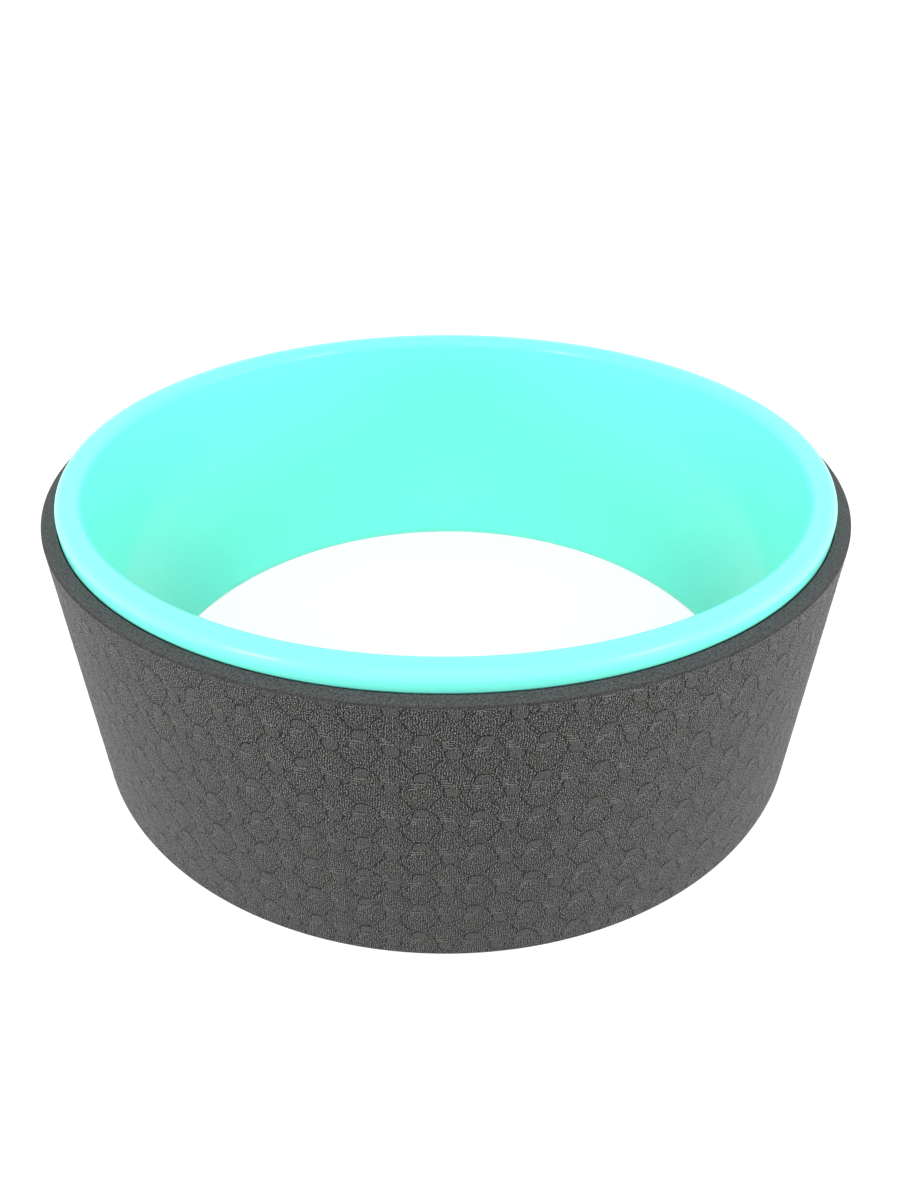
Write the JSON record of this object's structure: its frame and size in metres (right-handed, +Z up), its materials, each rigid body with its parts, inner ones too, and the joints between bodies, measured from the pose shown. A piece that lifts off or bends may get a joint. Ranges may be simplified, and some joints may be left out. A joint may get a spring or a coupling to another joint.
{
  "type": "back roller wheel",
  "caption": "Rigid open hoop with rounded lips and a foam tread wrapped round it, rolled under the back to stretch and support it.",
  "frame": {"origin": "on the floor under the wheel's centre, with the wheel lying on its side on the lower lip", "axes": "+Z up along the wheel's rolling axis; -Y is the side seen from the front; the tread's butt joint faces +Y"},
  "size_m": [0.33, 0.33, 0.13],
  "materials": {
    "hoop_plastic": "moulded ABS, mint turquoise all through, glossy",
    "tape_film": "double-sided mounting tape, hidden under the tread",
    "tread_foam": "charcoal closed-cell TPE foam, matt, with a raised scale pattern pressed into it"
  },
  "bodies": {
    "root": {"hoop": "hoop_plastic", "adhesive_tape": "tape_film", "tread_strip": "tread_foam"}
  },
  "joints": []
}
